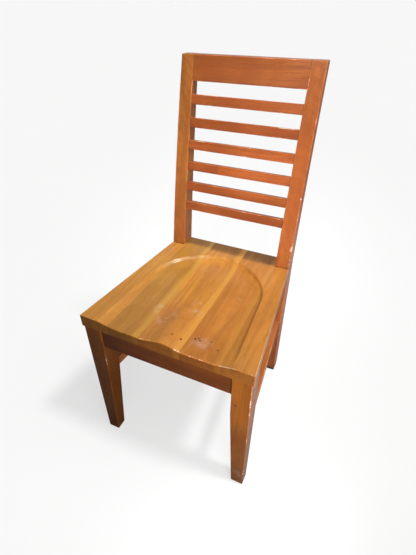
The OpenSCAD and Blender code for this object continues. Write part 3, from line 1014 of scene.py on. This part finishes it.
class CHAIR_OT_stage(Operator):
    """Lay the floor, hang the lights and place the camera"""

    bl_idname = "chair.stage"
    bl_label = "Floor, lights and camera"

    def execute(self, context):
        scene = context.scene
        stage = scene.chair_stage
        self.lay_floor(scene, stage)
        self.hang_lights(scene, stage)
        self.place_camera(scene, stage)
        scene.view_settings.view_transform = "Standard"
        return {"FINISHED"}

    def lay_floor(self, scene, stage):
        """A wide pale floor with a faint glow, that throws little light up at the chair's front left."""
        half_size = 600.0
        bm = bmesh.new()
        bmesh.ops.create_grid(bm, x_segments=1, y_segments=1, size=half_size)
        mesh = bpy.data.meshes.new("floor")
        bm.to_mesh(mesh)
        bm.free()
        floor = bpy.data.objects.new("floor", mesh)
        scene.collection.objects.link(floor)
        mesh.materials.append(self.pale_floor(stage))

    def pale_floor(self, stage):
        """The floor's finish: nearly even to the eye, and darker where it throws light at the chair."""
        material = bpy.data.materials.new("Pale floor")
        material.use_nodes = True
        tree = material.node_tree
        tree.nodes.clear()
        place = put(tree, "TexCoord").outputs["Object"]
        parts = put(tree, "SeparateXYZ", {0: place})
        patches = put(tree, "TexNoise", {"Vector": place, "Scale": 1.5})
        pale = shaded(stage.floor, 1.0)
        tone = blend_colour(tree, patches.outputs["Fac"], shaded(stage.floor, 0.985), pale)
        lit = put(tree, "BsdfDiffuse", {"Color": tone})
        glow = put(tree, "Emission", {"Color": tone})
        bright = put(tree, "MixShader", {0: stage.glow, 1: lit.outputs[0], 2: glow.outputs[0]})

        beside = remap(tree, parts.outputs[X], 0.1, 0.45)
        near = remap(tree, parts.outputs[Y], 0.4, 1.8, 1.0, 0.2)
        bounce = maths(tree, "MULTIPLY", beside, near)
        thrown = blend_colour(tree, bounce, shaded(stage.floor, 0.10), shaded(stage.floor, 0.5))
        dim = put(tree, "BsdfDiffuse", {"Color": thrown})
        seen = put(tree, "LightPath").outputs["Is Camera Ray"]
        mix = put(tree, "MixShader", {0: seen, 1: dim.outputs[0], 2: bright.outputs[0]})
        output = put(tree, "OutputMaterial")
        tree.links.new(mix.outputs[0], output.inputs["Surface"])
        return material

    def surround(self, stage):
        """A world that brightens to the back and right, behind a plain pale backdrop."""
        world = bpy.data.worlds.new("Studio")
        world.use_nodes = True
        tree = world.node_tree
        tree.nodes.clear()
        brightest = (0.45, 0.82, 0.35)
        look = put(tree, "TexCoord").outputs["Generated"]
        aim = put(tree, "VectorMath", {0: look, 1: brightest}, operation="DOT_PRODUCT").outputs["Value"]
        strength = remap(tree, aim, -0.1, 0.8, stage.dim, stage.wall)
        sky = put(tree, "Background", {"Color": (1.0, 0.985, 0.96, 1.0), "Strength": strength})
        backdrop = put(tree, "Background", {"Color": shaded(stage.floor, 1.0), "Strength": 1.0})
        seen = put(tree, "LightPath").outputs["Is Camera Ray"]
        mix = put(tree, "MixShader", {0: seen, 1: sky.outputs[0], 2: backdrop.outputs[0]})
        output = put(tree, "OutputWorld")
        tree.links.new(mix.outputs[0], output.inputs["Surface"])
        return world

    def hang_lights(self, scene, stage):
        """The surround, two soft lights overhead and two softboxes."""
        scene.world = self.surround(stage)
        self.hang_sun(scene, "Overhead", stage.key, width=8, turned=(-3, 28))
        self.hang_sun(scene, "Ceiling", stage.ceiling, width=50, turned=(0, 26))
        self.hang_softbox(
            scene,
            "Front lamp",
            stage.front,
            place=(0.45, -1.1, 1.75),
            target=(0.01, 0.2, 0.68),
            size=(0.6, 0.6),
            spread=36,
        )
        self.hang_softbox(
            scene,
            "Side softbox",
            stage.side,
            place=(0.42, -0.55, 0.33),
            target=(0.1, -0.2, 0.31),
            size=(0.25, 0.5),
            spread=150,
        )

    def hang_sun(self, scene, name, power, width, turned):
        """A far light of some width, turned about X and Y from straight down, in degrees."""
        data = bpy.data.lights.new(name, "SUN")
        data.energy = power
        data.angle = radians(width)
        lamp = bpy.data.objects.new(name, data)
        lamp.rotation_euler = (radians(turned[0]), radians(turned[1]), 0.0)
        scene.collection.objects.link(lamp)

    def hang_softbox(self, scene, name, power, place, target, size, spread):
        """A rectangular lamp, out of the camera's sight, aimed at a point."""
        data = bpy.data.lights.new(name, "AREA")
        data.shape = "RECTANGLE"
        data.size, data.size_y = size
        data.energy = power
        data.spread = radians(spread)
        lamp = bpy.data.objects.new(name, data)
        lamp.location = place
        lamp.rotation_euler = (Vector(target) - lamp.location).to_track_quat("-Z", "Y").to_euler()
        lamp.visible_camera = False
        scene.collection.objects.link(lamp)

    def place_camera(self, scene, stage):
        """The camera, above the chair's front right and tilted down at it."""
        data = bpy.data.cameras.new("Camera")
        data.lens = stage.lens
        data.sensor_width = 36.0
        camera = bpy.data.objects.new("Camera", data)
        camera.location = stage.camera_place
        camera.rotation_euler = (pi / 2 - stage.camera_tilt, 0.0, stage.camera_turn)
        scene.collection.objects.link(camera)
        scene.camera = camera


OPERATORS = (
    CHAIR_OT_stage,
    CHAIR_OT_seat_boards,
    CHAIR_OT_rear_posts,
    CHAIR_OT_back_rails,
    CHAIR_OT_front_legs,
    CHAIR_OT_rails,
    CHAIR_OT_hardware,
)


class CHAIR_PT_panel(Panel):
    """Lists the chair's pieces, finishes and stage"""

    bl_idname = "CHAIR_PT_panel"
    bl_label = "Dining chair"
    bl_space_type = "VIEW_3D"
    bl_region_type = "UI"
    bl_category = "Chair"

    def draw(self, context):
        layout = self.layout
        for operator in OPERATORS:
            layout.operator(operator.bl_idname)
        for group in ("chair_seat", "chair_frame", "chair_finish", "chair_stage"):
            settings = getattr(context.scene, group)
            column = layout.column(align=True)
            for key in settings.__annotations__:
                column.prop(settings, key)


SETTINGS = {
    "chair_seat": SeatSettings,
    "chair_frame": FrameSettings,
    "chair_finish": FinishSettings,
    "chair_stage": StageSettings,
}


def register():
    """Adds the settings, the operators and the panel to Blender."""
    for settings in SETTINGS.values():
        bpy.utils.register_class(settings)
    for kind in (*OPERATORS, CHAIR_PT_panel):
        bpy.utils.register_class(kind)
    for name, settings in SETTINGS.items():
        setattr(bpy.types.Scene, name, PointerProperty(type=settings))


def unregister():
    """Takes them away again."""
    for name in SETTINGS:
        delattr(bpy.types.Scene, name)
    for kind in (CHAIR_PT_panel, *reversed(OPERATORS)):
        bpy.utils.unregister_class(kind)
    for settings in SETTINGS.values():
        bpy.utils.unregister_class(settings)


def main():
    """Builds everything in order."""
    register()
    bpy.ops.chair.stage()
    bpy.ops.chair.seat_boards()
    bpy.ops.chair.rear_posts()
    bpy.ops.chair.back_rails()
    bpy.ops.chair.front_legs()
    bpy.ops.chair.rails()
    bpy.ops.chair.hardware()


if __name__ == "__main__":
    main()
